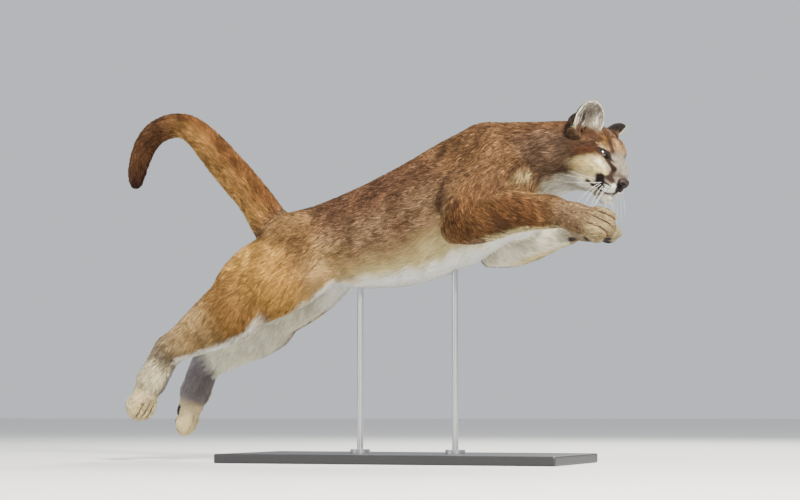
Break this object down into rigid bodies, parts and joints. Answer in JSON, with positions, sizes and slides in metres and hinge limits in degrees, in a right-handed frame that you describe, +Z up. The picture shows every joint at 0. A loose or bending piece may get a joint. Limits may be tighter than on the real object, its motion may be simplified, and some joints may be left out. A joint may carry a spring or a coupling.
{
  "type": "cougar model",
  "caption": "Life-size model of a leaping cougar with a raised tail, held over a flat base by short rods.",
  "frame": {"origin": "middle of the underside of the whole model's bounding box, on the floor", "axes": "+X towards the cat's head, the way it leaps, +Y to its left, +Z up"},
  "size_m": [1.4182, 0.42, 0.945],
  "materials": {
    "coat": "short tawny fur",
    "pale_coat": "short buff fur",
    "dark_coat": "short dark fur",
    "nose_leather": "bare damp skin",
    "eye": "glossy amber",
    "stand_plate": "satin black paint",
    "stand_steel": "brushed"
  },
  "bodies": {
    "root": {"head": "coat", "nose": "nose_leather", "ear_left": "dark_coat", "ear_right": "dark_coat", "eye_left": "eye", "eye_right": "eye", "neck": "coat", "chest": "coat", "belly": "coat", "hips": "coat", "tail_1": "coat", "tail_2": "coat", "tail_3": "coat", "tail_4": "coat", "tail_5": "dark_coat", "foreleg_left_upper": "coat", "foreleg_left_forearm": "coat", "foreleg_left_paw": "pale_coat", "foreleg_right_upper": "coat", "foreleg_right_forearm": "coat", "foreleg_right_paw": "pale_coat", "hindleg_left_thigh": "coat", "hindleg_left_shank": "coat", "hindleg_left_foot": "coat", "hindleg_left_paw": "pale_coat", "hindleg_right_thigh": "coat", "hindleg_right_shank": "coat", "hindleg_right_foot": "coat", "hindleg_right_paw": "pale_coat", "stand_base": "stand_plate", "stand_collar_front": "stand_steel", "stand_collar_rear": "stand_steel", "stand_rod_front": "stand_steel", "stand_rod_rear": "stand_steel"}
  },
  "joints": []
}
